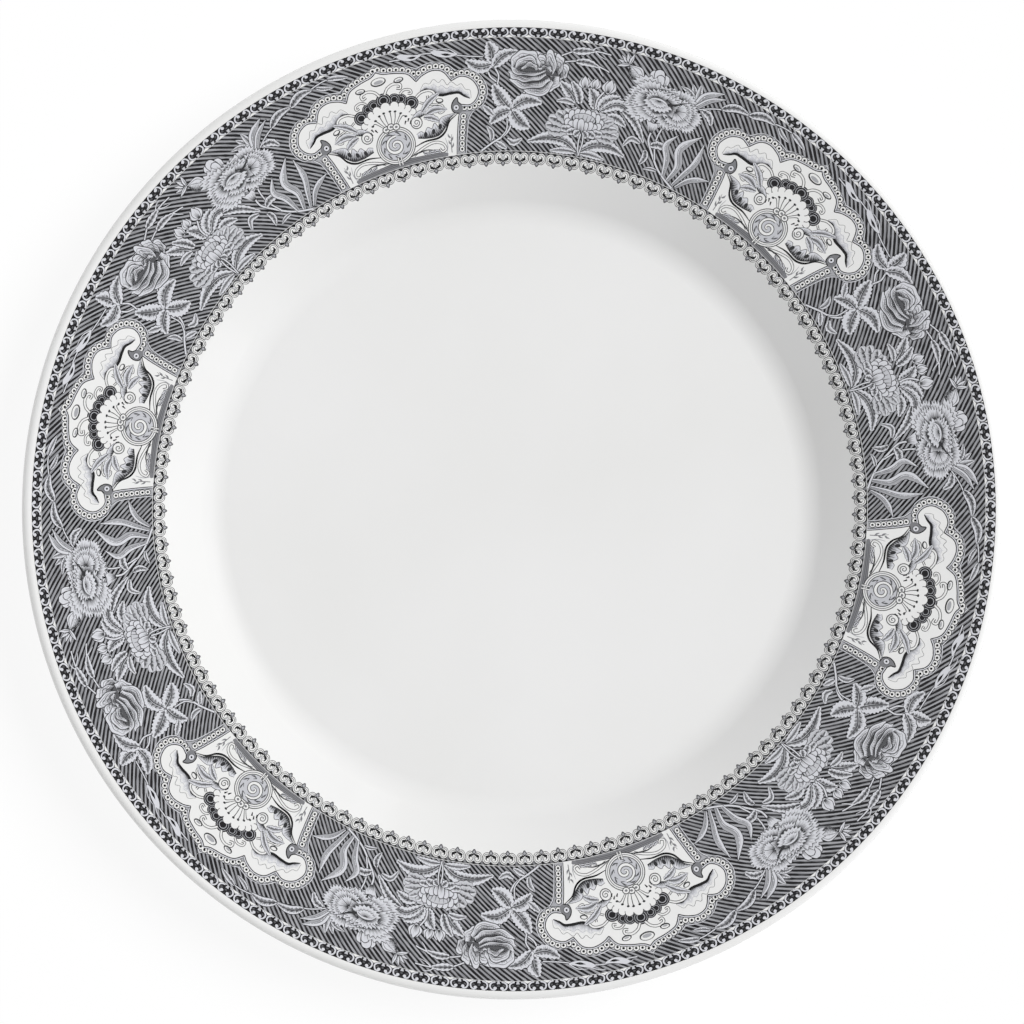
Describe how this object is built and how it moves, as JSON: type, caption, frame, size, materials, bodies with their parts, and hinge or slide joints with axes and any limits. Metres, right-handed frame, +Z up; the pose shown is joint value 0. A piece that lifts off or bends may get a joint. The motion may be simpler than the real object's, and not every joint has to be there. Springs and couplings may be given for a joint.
{
  "type": "dinner plate",
  "caption": "Round porcelain dinner plate with a flat well, a sloping wide rim printed with black flowers and cartouches, and a foot ring.",
  "frame": {"origin": "centre of the foot ring's resting plane, on the plate's axis", "axes": "+Z up through the well along the plate's axis; +X and +Y in the resting plane, with a cartouche centred 107.5 degrees from +X"},
  "size_m": [0.27, 0.27, 0.024],
  "materials": {
    "fired_clay": "bare fired clay, fine and matt, at the standing ring",
    "clear_glaze": "glossy clear glaze over white clay",
    "black_ink": "black and grey transfer print fired into the glaze, glossy"
  },
  "bodies": {
    "root": {"plate_body": "fired_clay", "glaze_coat": "clear_glaze", "base_glaze": "clear_glaze", "outer_border_print": "black_ink", "inner_border_print": "black_ink", "cartouche_print_1": "black_ink", "cartouche_print_2": "black_ink", "cartouche_print_3": "black_ink", "cartouche_print_4": "black_ink", "cartouche_print_5": "black_ink", "cartouche_print_6": "black_ink", "floral_print_1": "black_ink", "floral_print_2": "black_ink", "floral_print_3": "black_ink", "floral_print_4": "black_ink", "floral_print_5": "black_ink", "floral_print_6": "black_ink"}
  },
  "joints": []
}
